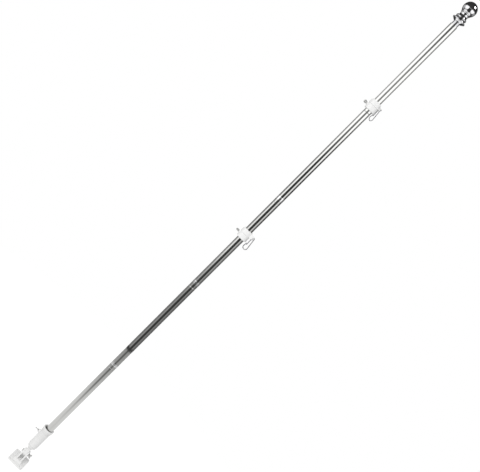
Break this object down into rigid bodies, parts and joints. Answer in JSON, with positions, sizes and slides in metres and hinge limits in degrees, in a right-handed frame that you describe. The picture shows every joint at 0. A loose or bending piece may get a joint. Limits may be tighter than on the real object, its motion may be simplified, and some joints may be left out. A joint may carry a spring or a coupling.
{
  "type": "sectional house flagpole with wall bracket",
  "caption": "Slim polished metal flagpole in screwed sections with a ball finial, white flag rings with snap hooks and a tilting wall bracket.",
  "frame": {"origin": "centre of the flat back face of the wall plate", "axes": "+Z out of the wall plate and up the pole when the bracket is straight; +X along the hinge bolt towards its wing nut"},
  "size_m": [0.0764, 0.076, 2.0491],
  "materials": {
    "white_casting": "smooth white powder coat",
    "polished_tube": "polished stainless tube with fine lengthwise polish lines",
    "satin_coupling": "bright satin",
    "chromed_finial": "mirror chrome",
    "white_plastic": "moulded satin plastic",
    "zinc_fastener": "zinc plated",
    "hook_steel": "polished spring steel"
  },
  "bodies": {
    "bracket": {"wall_plate": "white_casting", "hinge_bolt": "zinc_fastener", "hinge_washer": "zinc_fastener", "wing_nut": "zinc_fastener"},
    "pole": {"socket_cup": "white_casting", "cup_thumbscrew": "zinc_fastener", "pole_section_1": "polished_tube", "pole_section_2": "polished_tube", "pole_section_3": "polished_tube", "pole_section_4": "polished_tube", "pole_section_5": "polished_tube", "coupling_1": "satin_coupling", "coupling_2": "satin_coupling", "coupling_3": "satin_coupling", "coupling_4": "satin_coupling", "finial_ferrule": "chromed_finial", "finial_stem": "chromed_finial", "finial_ball": "chromed_finial"},
    "lower_ring": {"lower_ring_shoe": "white_plastic", "lower_ring_thumbscrew": "zinc_fastener"},
    "lower_swivel": {"lower_ring_swivel": "white_plastic", "lower_hook_bar": "hook_steel"},
    "lower_hook": {"lower_snap_hook": "hook_steel", "lower_gate_pin": "hook_steel"},
    "lower_gate": {"lower_hook_gate": "hook_steel"},
    "upper_ring": {"upper_ring_shoe": "white_plastic", "upper_ring_thumbscrew": "zinc_fastener"},
    "upper_swivel": {"upper_ring_swivel": "white_plastic", "upper_hook_bar": "hook_steel"},
    "upper_hook": {"upper_snap_hook": "hook_steel", "upper_gate_pin": "hook_steel"},
    "upper_gate": {"upper_hook_gate": "hook_steel"}
  },
  "joints": [
    {"name": "bracket_tilt", "type": "hinge", "parent": "bracket", "child": "pole", "pos_m": [0, 0, 0.038], "axis": [1, 0, 0], "range_deg": [-90, 90]},
    {"name": "lower_ring_slide", "type": "slide", "parent": "pole", "child": "lower_ring", "axis": [0, 0, 1], "range_m": [-0.8, 0.2]},
    {"name": "lower_ring_turn", "type": "hinge", "parent": "lower_ring", "child": "lower_swivel", "pos_m": [0.0023, 0, 1.0828], "axis": [0, 0, 1], "range_deg": [-125, 165]},
    {"name": "lower_hook_swing", "type": "hinge", "parent": "lower_swivel", "child": "lower_hook", "pos_m": [0.03143, -0.0106, 1.0913], "axis": [-0.342, -0.9397, 0], "range_deg": [-1.5, 160]},
    {"name": "lower_gate_open", "type": "hinge", "parent": "lower_hook", "child": "lower_gate", "pos_m": [0.02711, -0.00903, 1.0843], "axis": [-0.342, -0.9397, 0], "range_deg": [0, 18], "stiffness_Nm_per_rad": 0.05, "springref_deg": -34.38},
    {"name": "upper_ring_slide", "type": "slide", "parent": "pole", "child": "upper_ring", "axis": [0, 0, 1], "range_m": [-0.25, 0.3]},
    {"name": "upper_ring_turn", "type": "hinge", "parent": "upper_ring", "child": "upper_swivel", "pos_m": [0.0023, 0, 1.6349], "axis": [0, 0, 1], "range_deg": [-188, 102]},
    {"name": "upper_hook_swing", "type": "hinge", "parent": "upper_swivel", "child": "upper_hook", "pos_m": [0.02497, 0.02114, 1.6434], "axis": [0.682, -0.7314, 0], "range_deg": [-1.5, 160]},
    {"name": "upper_gate_open", "type": "hinge", "parent": "upper_hook", "child": "upper_gate", "pos_m": [0.02161, 0.01801, 1.6364], "axis": [0.682, -0.7314, 0], "range_deg": [0, 18], "stiffness_Nm_per_rad": 0.05, "springref_deg": -34.38}
  ]
}
